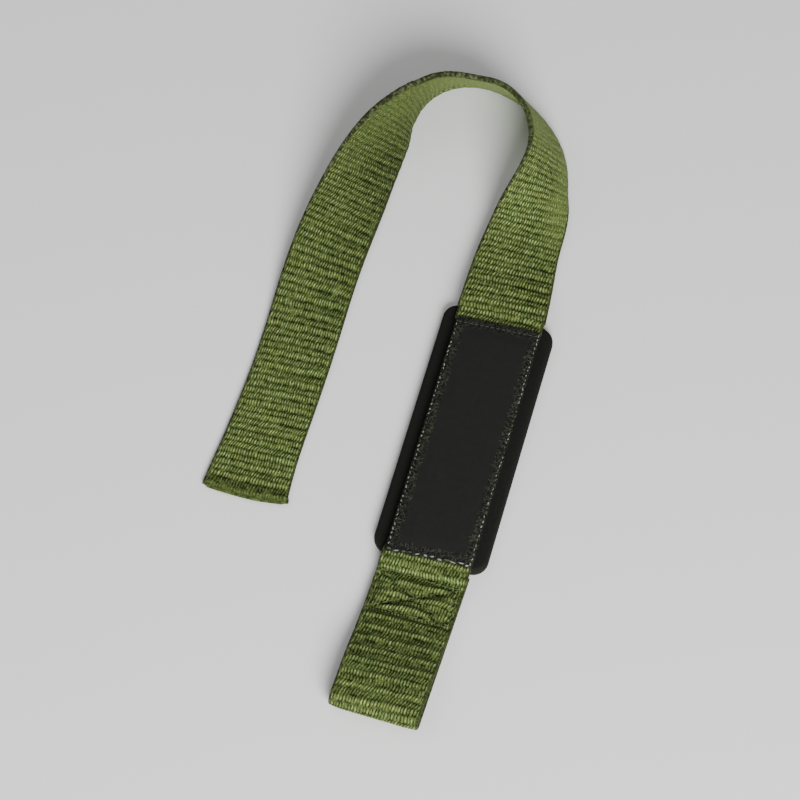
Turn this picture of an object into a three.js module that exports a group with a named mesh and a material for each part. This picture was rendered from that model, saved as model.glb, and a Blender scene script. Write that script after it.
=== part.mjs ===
import * as THREE from 'three';

// Driving sizes in millimetres
const WEB_WIDTH = 38;
const WEB_THICK = 3;
const WEB_EDGE = 0.8;
const PAD_WIDTH = 49;
const PAD_LENGTH = 119;
const PAD_THICK = 5;
const PAD_CORNER = 7;
const PAD_EDGE = 1.2;
const PATCH_WIDTH = 37;
const PATCH_LENGTH = 113.5;
const PATCH_THICK = 1.3;
const PATCH_CORNER = 1.5;
const PATCH_EDGE = 0.35;
const TAIL_LENGTH = 366;
const TAIL_DROP = 30;
const LOOP_LENGTH = 74;
const LOOP_GAP = 5.4;
const LAYER_GAP = 0.3;
const STEP = 3;

// The loop leans off the pad's long axis by this many degrees
const LOOP_SKEW = 2.2;

// Landmarks along the loop, as shares of its length from the pad to the fold
const LOOP = { tuck: 0.02, boxStart: 0.12, boxEnd: 0.36, full: 0.66 };

// The tail at even steps from the pad to the free end.
// heading and lean are in degrees, width is a share of the webbing width.
const TAIL = [
  { heading: 1, lean: 0, width: 1.0 },
  { heading: 2, lean: 7, width: 0.96 },
  { heading: -5, lean: 15, width: 0.88 },
  { heading: 0, lean: 50, width: 0.87 },
  { heading: 32, lean: 62, width: 0.88 },
  { heading: 67, lean: 67, width: 0.89 },
  { heading: 104, lean: 65, width: 0.9 },
  { heading: 149, lean: 84, width: 0.88 },
  { heading: 161, lean: 118, width: 0.87 },
  { heading: 170, lean: 141, width: 0.86 },
  { heading: 173, lean: 158, width: 0.86 },
  { heading: 178, lean: 170, width: 0.86 },
  { heading: 181, lean: 178, width: 0.86 },
  { heading: 180, lean: 180, width: 0.86 },
  { heading: 178, lean: 180, width: 0.87 },
  { heading: 178, lean: 180, width: 0.9 },
  { heading: 180, lean: 180, width: 0.98 },
];

// Heights of the middle of the webbing above the floor
const LOW_MID = WEB_THICK / 2;
const STACK_MID = LOW_MID + WEB_THICK + LAYER_GAP;
const PAD_MID = PAD_THICK + LAYER_GAP + LOW_MID;
const FOLD_RADIUS = (LOOP_GAP + WEB_THICK) / 2;
const LOOP_MID = LOW_MID + 2 * FOLD_RADIUS;
const PATCH_BOTTOM = PAD_THICK + WEB_THICK + 2 * LAYER_GAP;

const radians = (degrees) => (degrees * Math.PI) / 180;
const vec = (x, y, z) => new THREE.Vector3(x, y, z);

// A smooth step from 0 to 1 as x goes from low to high
function smooth(low, high, x) {
  const t = Math.min(1, Math.max(0, (x - low) / (high - low)));
  return t * t * (3 - 2 * t);
}

// A smooth curve through one column of an evenly spaced table
function column(table, name, share) {
  const last = table.length - 1;
  const value = (row) => table[row][name];
  const slope = (row) => {
    if (row === 0) return value(1) - value(0);
    if (row === last) return value(last) - value(last - 1);
    return (value(row + 1) - value(row - 1)) / 2;
  };
  const at = Math.min(Math.max(share * last, 0), last - 1e-9);
  const row = Math.floor(at);
  const t = at - row;
  const tt = t * t;
  const ttt = tt * t;
  return (
    (2 * ttt - 3 * tt + 1) * value(row) +
    (ttt - 2 * tt + t) * slope(row) +
    (3 * tt - 2 * ttt) * value(row + 1) +
    (ttt - tt) * slope(row + 1)
  );
}

// One station of the webbing: its centre, its direction, the direction across it and its width
function station(centre, along, across, width) {
  return { centre, along, across, width, out: across.clone().cross(along).normalize() };
}

// The height of the loop's upper layer, by distance from the pad's lower edge
function loopHeight(distance) {
  const share = distance / LOOP_LENGTH;
  const offPad = smooth(0, LOOP.boxStart, share);
  const bulge = smooth(LOOP.boxEnd, LOOP.full, share);
  return PAD_MID + (STACK_MID - PAD_MID) * offPad + (LOOP_MID - STACK_MID) * bulge;
}

// The loop from its tucked end, out along the floor, round the fold and back to the pad
function loopStations() {
  const skew = radians(LOOP_SKEW);
  const outward = vec(-Math.sin(skew), -Math.cos(skew), 0);
  const across = vec(Math.cos(skew), -Math.sin(skew), 0);
  const foot = vec(0, -PAD_LENGTH / 2, 0);
  const foldAt = LOOP_LENGTH - FOLD_RADIUS - WEB_THICK / 2;
  const points = [];
  const lowStart = LOOP.tuck * LOOP_LENGTH;
  const lowSteps = Math.ceil((foldAt - lowStart) / STEP);
  for (let i = 0; i < lowSteps; i += 1) {
    points.push([lowStart + ((foldAt - lowStart) * i) / lowSteps, LOW_MID]);
  }
  const foldSteps = 12;
  for (let i = 0; i < foldSteps; i += 1) {
    const turn = (Math.PI * i) / foldSteps;
    const reach = foldAt + FOLD_RADIUS * Math.sin(turn);
    points.push([reach, LOW_MID + FOLD_RADIUS * (1 - Math.cos(turn))]);
  }
  const topSteps = Math.ceil(foldAt / STEP);
  for (let i = 0; i < topSteps; i += 1) {
    const distance = foldAt * (1 - i / topSteps);
    points.push([distance, loopHeight(distance)]);
  }
  const centres = points.map(([distance, height]) =>
    foot.clone().addScaledVector(outward, distance).setZ(height),
  );
  return centres.map((centre, i) => {
    const before = centres[Math.max(i - 1, 0)];
    const after = centres[Math.min(i + 1, centres.length - 1)];
    return station(centre, after.clone().sub(before).normalize(), across, WEB_WIDTH);
  });
}

// The straight run of webbing over the pad
function padStations() {
  const steps = 8;
  const stations = [];
  for (let i = 0; i < steps; i += 1) {
    const y = PAD_LENGTH * (i / steps - 0.5);
    stations.push(station(vec(0, y, PAD_MID), vec(0, 1, 0), vec(1, 0, 0), WEB_WIDTH));
  }
  return stations;
}

// The height at which the leaning tail rests with its lower edge on the floor
function tailHeight(share) {
  const lean = radians(column(TAIL, 'lean', share));
  const half = (WEB_WIDTH * column(TAIL, 'width', share)) / 2;
  const drop = smooth(0, TAIL_DROP, share * TAIL_LENGTH);
  const rest = half * Math.abs(Math.sin(lean)) + (WEB_THICK / 2) * Math.abs(Math.cos(lean));
  return rest + (PAD_MID - LOW_MID) * (1 - drop);
}

// The tail from the pad round the arch to the free end
function tailStations() {
  const steps = Math.ceil(TAIL_LENGTH / STEP);
  const length = TAIL_LENGTH / steps;
  const stations = [];
  const centre = vec(0, PAD_LENGTH / 2, 0);
  for (let i = 0; i <= steps; i += 1) {
    const share = i / steps;
    const heading = radians(column(TAIL, 'heading', share));
    const lean = radians(column(TAIL, 'lean', share));
    const near = 0.5 / steps;
    const climb = (tailHeight(share + near) - tailHeight(share - near)) / length;
    const level = Math.sqrt(1 - Math.min(climb * climb, 0.9));
    const along = vec(-Math.sin(heading) * level, Math.cos(heading) * level, climb).normalize();
    const side = vec(Math.cos(heading), Math.sin(heading), 0);
    const upward = side.clone().cross(along);
    const across = side.multiplyScalar(Math.cos(lean)).addScaledVector(upward, -Math.sin(lean));
    const width = WEB_WIDTH * column(TAIL, 'width', share);
    const here = centre.clone().setZ(tailHeight(share));
    stations.push(station(here, along, across, width));
    centre.x += along.x * length;
    centre.y += along.y * length;
  }
  return stations;
}

// The webbing's section: a flat strip with eased edges, as points across and out
function sectionPoints(width) {
  const x = width / 2;
  const y = WEB_THICK / 2;
  const e = WEB_EDGE;
  return [
    [-x, -y + e],
    [-x + e, -y],
    [x - e, -y],
    [x, -y + e],
    [x, y - e],
    [x - e, y],
    [-x + e, y],
    [-x, y - e],
  ];
}

// A closed solid swept through the stations
function sweep(stations) {
  const positions = [];
  const indices = [];
  const ringSize = sectionPoints(1).length;
  stations.forEach(({ centre, across, out, width }) => {
    sectionPoints(width).forEach(([x, y]) => {
      const point = centre.clone().addScaledVector(across, x).addScaledVector(out, y);
      positions.push(point.x, point.y, point.z);
    });
  });
  for (let ring = 0; ring + 1 < stations.length; ring += 1) {
    for (let i = 0; i < ringSize; i += 1) {
      const j = (i + 1) % ringSize;
      const a = ring * ringSize + i;
      const b = ring * ringSize + j;
      indices.push(a, b + ringSize, b, a, a + ringSize, b + ringSize);
    }
  }
  const end = (stations.length - 1) * ringSize;
  for (let i = 1; i + 1 < ringSize; i += 1) {
    indices.push(0, i, i + 1);
    indices.push(end, end + i + 1, end + i);
  }
  const geometry = new THREE.BufferGeometry();
  geometry.setAttribute('position', new THREE.Float32BufferAttribute(positions, 3));
  geometry.setIndex(indices);
  return geometry;
}

// A flat slab with rounded corners and eased edges, standing from z = 0
function slab(width, length, thick, corner, edge) {
  const x = width / 2;
  const y = length / 2;
  const shape = new THREE.Shape();
  shape.moveTo(-x + corner, -y);
  shape.lineTo(x - corner, -y);
  shape.absarc(x - corner, -y + corner, corner, -Math.PI / 2, 0);
  shape.lineTo(x, y - corner);
  shape.absarc(x - corner, y - corner, corner, 0, Math.PI / 2);
  shape.lineTo(-x + corner, y);
  shape.absarc(-x + corner, y - corner, corner, Math.PI / 2, Math.PI);
  shape.lineTo(-x, -y + corner);
  shape.absarc(-x + corner, -y + corner, corner, Math.PI, Math.PI * 1.5);
  const geometry = new THREE.ExtrudeGeometry(shape, {
    depth: thick - 2 * edge,
    bevelEnabled: true,
    bevelThickness: edge,
    bevelSize: edge,
    bevelOffset: -edge,
    bevelSegments: 3,
    curveSegments: 10,
  });
  geometry.translate(0, 0, edge);
  return geometry;
}

function solid(name, geometry, color, roughness) {
  const material = new THREE.MeshStandardMaterial({ color, roughness, metalness: 0 });
  const mesh = new THREE.Mesh(geometry, material);
  mesh.name = name;
  return mesh;
}

// The patch lies flush with the pad's lower end
const pad = slab(PAD_WIDTH, PAD_LENGTH, PAD_THICK, PAD_CORNER, PAD_EDGE);
const patch = slab(PATCH_WIDTH, PATCH_LENGTH, PATCH_THICK, PATCH_CORNER, PATCH_EDGE);
patch.translate(0, (PATCH_LENGTH - PAD_LENGTH) / 2, PATCH_BOTTOM);
const webbing = sweep([...loopStations(), ...padStations(), ...tailStations()]);

// The whole strap is centred over the origin and rests on z = 0
const pieces = [
  solid('webbing_strap', webbing, 0x5f7038, 0.9),
  solid('neoprene_pad', pad, 0x1f1f1d, 0.8),
  solid('cover_patch', patch, 0x262624, 0.7),
];
const box = new THREE.Box3();
pieces.forEach((piece) => {
  piece.geometry.computeBoundingBox();
  box.union(piece.geometry.boundingBox);
});
const middle = box.getCenter(new THREE.Vector3());
pieces.forEach((piece) => piece.geometry.translate(-middle.x, -middle.y, -box.min.z));

const part = new THREE.Group();
part.name = 'weightlifting_strap';
part.add(...pieces);

export default part;
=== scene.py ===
"""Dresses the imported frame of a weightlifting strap: woven webbing, foam pad, cover patch and thread."""

import math

import bmesh
import bpy
import numpy as np
from bpy.props import FloatProperty, FloatVectorProperty, IntProperty, PointerProperty
from mathutils import Matrix, Vector


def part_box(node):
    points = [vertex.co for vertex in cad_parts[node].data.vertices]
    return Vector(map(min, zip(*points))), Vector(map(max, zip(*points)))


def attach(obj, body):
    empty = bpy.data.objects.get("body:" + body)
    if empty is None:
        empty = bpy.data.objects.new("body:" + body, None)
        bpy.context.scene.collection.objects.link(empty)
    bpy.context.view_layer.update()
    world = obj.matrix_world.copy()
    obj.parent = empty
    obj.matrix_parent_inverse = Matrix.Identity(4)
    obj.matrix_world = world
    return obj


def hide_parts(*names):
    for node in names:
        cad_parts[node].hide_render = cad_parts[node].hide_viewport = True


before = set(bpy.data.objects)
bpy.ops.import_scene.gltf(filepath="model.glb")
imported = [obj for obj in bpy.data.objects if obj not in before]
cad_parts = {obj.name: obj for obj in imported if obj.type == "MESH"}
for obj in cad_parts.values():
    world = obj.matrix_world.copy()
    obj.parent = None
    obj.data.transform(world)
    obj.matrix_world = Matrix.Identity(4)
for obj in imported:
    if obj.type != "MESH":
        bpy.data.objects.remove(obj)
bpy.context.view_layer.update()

bl_info = {
    "name": "Weightlifting strap",
    "version": (1, 0, 0),
    "blender": (4, 5, 0),
    "location": "3D View > Sidebar > Strap",
    "description": "Builds the webbing, pad, patch and stitching of a weightlifting strap",
    "category": "Object",
}

# The frame's own sizes. Lengths are in millimetres unless a comment says otherwise.
MM = 0.001
PAD_LOW, PAD_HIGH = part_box("neoprene_pad")
PAD_MIDDLE = (PAD_LOW + PAD_HIGH) / 2
PAD_LENGTH = (PAD_HIGH.y - PAD_LOW.y) / MM
PAD_WIDTH = (PAD_HIGH.x - PAD_LOW.x) / MM
PAD_THICK = (PAD_HIGH.z - PAD_LOW.z) / MM
PATCH_LOW, PATCH_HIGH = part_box("cover_patch")
PATCH_MIDDLE = (PATCH_LOW + PATCH_HIGH) / 2
PATCH_LENGTH = (PATCH_HIGH.y - PATCH_LOW.y) / MM
PATCH_WIDTH = (PATCH_HIGH.x - PATCH_LOW.x) / MM

# The tail at even steps from the pad to the free end: heading and lean in degrees, width and
# rib spacing as shares, and how far the ribs run askew, in ribs from the middle to an edge
TAIL = {
    "heading": (1, 2, -5, 0, 32, 67, 104, 149, 161, 170, 173, 178, 181, 180, 178, 178, 180),
    "lean": (0, 7, 15, 50, 62, 67, 65, 84, 118, 141, 158, 170, 178, 180, 180, 180, 180),
    "width": (
        1.03, 0.97, 0.88, 0.87, 0.88, 0.89, 0.9, 0.88, 0.87,
        0.86, 0.86, 0.86, 0.86, 0.86, 0.87, 0.9, 0.98,
    ),
    "rib": (
        1.07, 1.07, 0.97, 0.9, 0.88, 0.88, 0.88, 0.88, 0.9,
        0.94, 1.05, 1.24, 1.28, 1.2, 1.12, 1.07, 1.03,
    ),
    "skew": (
        -0.2, -0.4, -0.8, -0.8, -0.4, 0.0, 0.3, 1.9, 2.2,
        1.1, 0.3, 0.0, 0.0, 0.2, 0.4, 0.35, 0.1,
    ),
}

# The loop: places as shares of its length from the pad to the fold, and its ribs
LOOP_TUCK, LOOP_LIP, LOOP_BOX_START, LOOP_BOX_END, LOOP_FULL = 0.02, 0.06, 0.135, 0.37, 0.8
LOOP_RIB_SKEW, LOOP_RIB = -0.44, 1.03

# Clearance between layers, the tail's way down to the floor, and how narrow it is sewn down
LAYER_GAP, TAIL_DROP, SEWN_IN = 0.3, 30, 2.2

# Where one stretch of webbing ends and the next starts: inside the pad's two ends, and past it
SPLIT_SEWN, SPLIT_PAD, SPLIT_TAIL = 4, 9, 178

# The crossed box of thread on the loop: its ends by distance from the pad, and half its width
BOX_NEAR, BOX_FAR, BOX_HALF = 9.3, 26.6, 16.9

# How deep, how wide and how far off its lines the thread pulls the webbing in, the stretch that
# it acts on, and how far the webbing stands out within the box and in a puff before it
BOX_DEPTH, BOX_PULL, BOX_LAG, BOX_ZONE = 2.3, 4.4, 0.7, (2, 34)
BOX_RAISED = 0.2
PUFF_AT, PUFF_WIDTH, PUFF_HEIGHT = 5.5, 2.2, 0.5

# The weave, in ribs along and yarns across: how ribs and yarns wander and shift, how floats
# reach past their rib, lean and slip, and how high they stand as shares of the relief
RIB_WANDER, YARN_WANDER, ROW_SHIFT = 0.09, 0.34, 0.35
FLOAT_REACH, FLOAT_LEAN, LEAN_SPREAD, FLOAT_SLIP = 0.06, 0.45, 2.6, 0.13
FLOAT_HEIGHT, FLOAT_CHANCE, FLOAT_ALTERNATE = 0.78, 0.18, 0.26

# The weave's table of chance values, two columns of which lean and shift whole ribs
CHANCE_ROWS, CHANCE_CELLS, LEAN_CELL, SHIFT_CELL = 512, 97, 96, 95

# Pairs of ribs between deep gaps: how the gaps sink and are painted darker as shade, and how the pairs
# swell and vary
GAP_SINK, GAP_SHADE, PAIR_SWELL = 0.8, 0.4, 0.35
PAIR_WANDER, PAIR_UNEVEN, PAIR_PHASE_ON_LOOP = 0.25, 0.6, 0.6

# How strong the pairs are by distance from the pad: on the loop, and in from the tail's edge
PAIRS_ON_LOOP = ((40, 66), (0.9, 0.45))
PAIRS_REACH_IN = ((0, 110, 160), (0.1, 0.1, 0.5))
PAIRS_NEAR_PAD, PAIRS_NEAR_PAD_MORE = (32, 10), 0.3

# Stretches of the tail by distance past the pad: where each starts, is full, fades and is gone
RUBBED = (72, 100, 165, 212)
RUBBED_OUTER = (30, 60, 110, 130)
STOOD_UP = (68, 96, 160, 225)
# Along this stretch the inner edge gets a wider band of painted shade
SHADED_INNER_EDGE = (120, 140, 215, 260)

# How far the weave is rubbed flat, how askew and to what height, where it is less so, and where
# it starts on the underside and stops on the top
RUBBED_SLANT, RUBBED_MOST, RUBBED_OUTER_MOST, RUBBED_RISE = 16, 0.78, 0.55, 0.58
RUBBED_LESS, PAST_ARCH = 0.3, (135, 165)
RUBBED_INNER_LESS, INNER_SIDE = 0.8, (125, 150)
UNDER_RUBBED, TOP_RUBBED = (80, 100), (140, 115)

# The woven edge: its round as a share of the thickness, how much thinner it is, how much of that
# the standing tail is spared, and its dark band as shares of half the width: the cord itself, and
# painted shade that widens it where the tail stands up and along its inner edge
EDGE_ROUND, EDGE_THINNER, EDGE_KEPT = 0.28, 0.42, 0.85
EDGE_BAND, EDGE_SHADE_STOOD, EDGE_SHADE_INNER = 0.015, 0.1, 0.07

# The free end by distance from it: its seal, pressed fold line, rounding, curve and corner
SEALED, SEAL_RISE, SEAL_RIPPLE = (1.4, 4.0), 0.27, 0.14
FOLD_LINE, FOLD_LINE_WIDTH = 4.4, 0.8
END_ROUND, END_SECTIONS = 0.9, np.linspace(0.85, 0.0, 6)
END_CURVE, END_CURVE_OUT, END_CURVE_BACK = 11, 0.9, 0.7
END_CORNER, END_FLARE = 3, 0.6

# Painted light and shade: how much brighter or darker the webbing is painted, by distance from the pad:
# loop below zero, tail above
PAINTED_SHADING_AT = (-74, -64, -50, -30, -12, 0, 40, 80, 115, 160, 190, 215, 260, 320, 358, 362)
PAINTED_SHADING = (1.1, 1.1, 1.0, 1.03, 1.3, 1.3, 1.22, 1.3, 1.5, 0.88, 0.76, 0.9, 1.13, 1.3, 1.25, 0.95)

# The foam pad: radius and steps of its corners, upper and lower edges, and its drawn-out corner
PAD_CORNER, PAD_TOP_EDGE, PAD_FOOT_EDGE, PAD_SKEW = (6.6, 14), (1.9, 6), (1.3, 4), 1.8

# The patch: its skin, its place on the webbing, the spacing of its mesh and its cut edges
PATCH_SKIN, PATCH_LIFT = 0.9, 0.1
PATCH_SHIFT, PATCH_SLANT, PATCH_DROP = 0.55, 0.05, 0.85
PATCH_MESH, PATCH_WAVE = (0.45, 0.5), 0.9
PATCH_SIDE_WAVES, PATCH_END_WAVES = 0.2, 0.6

# Its crown, how its rims roll down, how its rows of stitches pull it in, and its rim's bumps
PATCH_CROWN, PATCH_SIDE_ROLL, PATCH_END_ROLL = 0.3, 1.0, 0.25
PATCH_SIDE_PULL, PATCH_END_PULL = 0.28, 0.2
PATCH_BUMPS, PATCH_BUMP_SIZE = 0.16, 0.8

# The patch's rows of stitches: how far in from its sides and ends, and how far they stop short
ROW_IN, END_ROW_IN, SIDE_ROW_END, END_ROW_END = 0.9, 1.9, 1.2, 2

# Threads in each row. The sides' darning is counted to a millimetre of half a side.
LOWER_ROW, LOWER_DARNING, UPPER_ROW, FRAY_AND_SHADOW_THREADS = 12, 70, 15, 150
SIDE_DARNING = 2.2

# Each thread's length and thickness, most of them as ranges, and how high it lies on the patch
SIDE_STITCH = ((0.8, 1.8), (0.3, 0.75), 0.25)
LOWER_STITCH = ((1.6, 3.2), (0.5, 1.0), 0.2)
UPPER_STITCH = (1.7, 0.5, 0.12)
SIDE_DARN = ((1.1, 2.4), 0.24, 0.05)
LOWER_DARN = ((1.0, 2.1), 0.26, 0.05)
FRAY = ((1.1, 2.4), (0.35, 0.85), 0.15)
BOX_STITCH, BOX_STITCH_PITCH, BOX_STITCH_SUNK = ((1.6, 2.6), (0.5, 0.8)), 2.7, 1.5

# Threads and edges that have no colour of their own in the panel
DARK_THREAD = (0.035, 0.035, 0.032)
# The black threads are fray and also painted shadow along the patch's cut ends
BLACK_FRAY_SHADOW_THREAD = (0.004, 0.004, 0.0035)
MOSS_THREAD = (0.045, 0.052, 0.022)
BOX_THREAD = (0.06, 0.076, 0.024)
# The dark moss of the edge is painted shade on the cord's shadow side
EDGE_SHADE, EDGE_SHADOW_MOSS = (0.012, 0.014, 0.005), (0.024, 0.031, 0.01)
RIM_SHADE, RIM_LINT = (0.002, 0.002, 0.0015), (0.03, 0.032, 0.018)

# Patches of dye that multiply the webbing's colour, and its sheen
YELLOW_DYE, MOSS_DYE = (1.12, 1.0, 0.68), (0.78, 1.0, 0.95)
SHEEN_TINT = (0.62, 0.68, 0.36, 1.0)

# Where the webbing turns from painted gap shade to yarn and from yarn to painted crown highlight, by the
# weave's height
YARN_FROM, YARN_TO, CROWN_HIGHLIGHT_FROM, CROWN_HIGHLIGHT_TO = 0.11, 0.53, 0.58, 1.0

# Patterns of chance in the materials, in waves to a metre
YELLOW_SCALE, MOSS_SCALE, COTTON_LINT_SCALE, EDGE_FRAY_SCALE = 190.0, 140.0, 420.0, 620.0
COTTON_FUZZ_SCALE, FOAM_FUZZ_SCALE, PATCH_FUZZ_SCALE = 2300.0, 1400.0, 900.0
RIM_LINT_SCALE, THREAD_FUZZ_SCALE = 1300.0, 1900.0

# The spun fibre on the weave's own map: its slant in radians and its waves across and along
FIBRE_TURN, FIBRE_STRETCH, FIBRE_SCALE = 0.5, (62.0, 2.6, 1.0), 1.3

# Cells each way in a grid of chance waves
WAVE_GRID = 256

# The camera, worked out from the photo: it looks down at the strap from beyond the loop
CAMERA_AIM = Vector((-31.75, 11.65, 0)) * MM
CAMERA_DISTANCE = 1.393
CAMERA_AZIMUTH = math.radians(15.71)
CAMERA_ELEVATION = math.radians(62.75)
CAMERA_LENS = 147.06

# The stage, in metres: half the floor's width, its grey, the sky's strength, and each light's
# name, place, width and power in watts
FLOOR_HALF, FLOOR_GREY, SKY_STRENGTH = 3, (0.88, 0.88, 0.88, 1), 0.31
LIGHTS = (
    ("front_light", (0.7, -1.25, 0.95), 1.0, 54),
    ("side_light", (-1.0, 0.3, 1.4), 1.2, 4),
)


def colour_property(name, description, default):
    return FloatVectorProperty(
        name=name, description=description, default=default, subtype="COLOR", size=3
    )


class StrapSizes(bpy.types.PropertyGroup):
    """Sizes that set the strap's look, in millimetres"""

    web_width: FloatProperty(
        name="Webbing width", description="Width of the flat webbing", default=38.0, min=20.0, max=60.0
    )
    web_thick: FloatProperty(
        name="Webbing thickness", description="Thickness over the ribs", default=3.0, min=1.5, max=5.0
    )
    tail_length: FloatProperty(
        name="Tail length", description="Webbing from the pad to the free end", default=366.0, min=200.0
    )
    loop_length: FloatProperty(
        name="Loop length", description="From the pad to the fold's outside", default=74.0, min=40.0
    )
    loop_gap: FloatProperty(
        name="Loop gap", description="Space between the loop's layers", default=5.4, min=2.0
    )
    loop_skew: FloatProperty(
        name="Loop skew",
        description="How far the loop leans off the pad",
        default=math.radians(2.2),
        subtype="ANGLE",
        unit="ROTATION",
    )
    rib_pitch: FloatProperty(
        name="Rib pitch", description="Spacing of the webbing's ribs", default=2.78, min=1.0, max=6.0
    )
    columns: IntProperty(
        name="Yarns across", description="Warp floats in one rib, edge to edge", default=28, min=8, max=60
    )
    relief: FloatProperty(
        name="Weave relief", description="Height of a float over the gaps", default=0.45, min=0.0, max=1.0
    )
    stitch_pitch: FloatProperty(
        name="Stitch pitch", description="Spacing of the patch's side stitches", default=2.2, min=1.0
    )


class StrapColours(bpy.types.PropertyGroup):
    """Colours of the strap's cloth, foam and thread"""

    # Painted shade: the dark olive between the yarns
    painted_gap_shade: colour_property("Webbing gaps", "Shaded olive between the yarns", (0.003, 0.0065, 0.0002))
    yarn: colour_property("Webbing yarn", "Olive of the yarns' sides", (0.098, 0.134, 0.038))
    # Painted highlight: the pale olive on the yarns' tops
    crown: colour_property("Webbing crowns", "Pale olive of the yarns' tops", (0.33, 0.4, 0.175))
    selvedge: colour_property("Webbing edge", "Grey olive of the woven edge", (0.065, 0.074, 0.036))
    foam: colour_property("Foam pad", "Black foam rubber", (0.0085, 0.0085, 0.0071))
    patch: colour_property("Cover patch", "Dull charcoal skin", (0.0106, 0.0106, 0.0095))
    thread: colour_property("Patch thread", "Pale grey thread", (0.19, 0.20, 0.16))


def smooth(low, high, x):
    """A smooth step from 0 to 1 as x goes from low to high."""
    t = np.clip((x - low) / (high - low), 0.0, 1.0)
    return t * t * (3 - 2 * t)


def stretch(marks, place, leaving=None):
    """From 0 up to 1 and back along a stretch, by its four marks. It may fade by a second place."""
    start, full, fades, gone = marks
    return smooth(start, full, place) * smooth(gone, fades, place if leaving is None else leaving)


def hump(x, middle, width):
    """A smooth hump: 1 in its middle, falling away over its width."""
    return np.exp(-(((x - middle) / width) ** 2))


def ripple(x, y, seed):
    """Smooth chance waves between -1 and 1, about one wave to two units each way."""
    grid = np.random.default_rng(seed).uniform(-1, 1, (WAVE_GRID, WAVE_GRID))
    i, j = np.floor(x).astype(int), np.floor(y).astype(int)
    u, v = x - i, y - j
    u, v = u * u * (3 - 2 * u), v * v * (3 - 2 * v)

    def row(step):
        there = (j + step) % WAVE_GRID
        return grid[i % WAVE_GRID, there] * (1 - u) + grid[(i + 1) % WAVE_GRID, there] * u

    return row(0) * (1 - v) + row(1) * v


def tail_column(name, share):
    """A smooth curve through one column of the tail's table."""
    values = np.array(TAIL[name], float)
    slopes = np.gradient(values)
    last = len(values) - 1
    place = np.clip(share * last, 0, last - 1e-9)
    row = place.astype(int)
    t = place - row
    tt = t * t
    ttt = tt * t
    return (
        (2 * ttt - 3 * tt + 1) * values[row]
        + (ttt - 2 * tt + t) * slopes[row]
        + (3 * tt - 2 * ttt) * values[row + 1]
        + (ttt - tt) * slopes[row + 1]
    )


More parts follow.
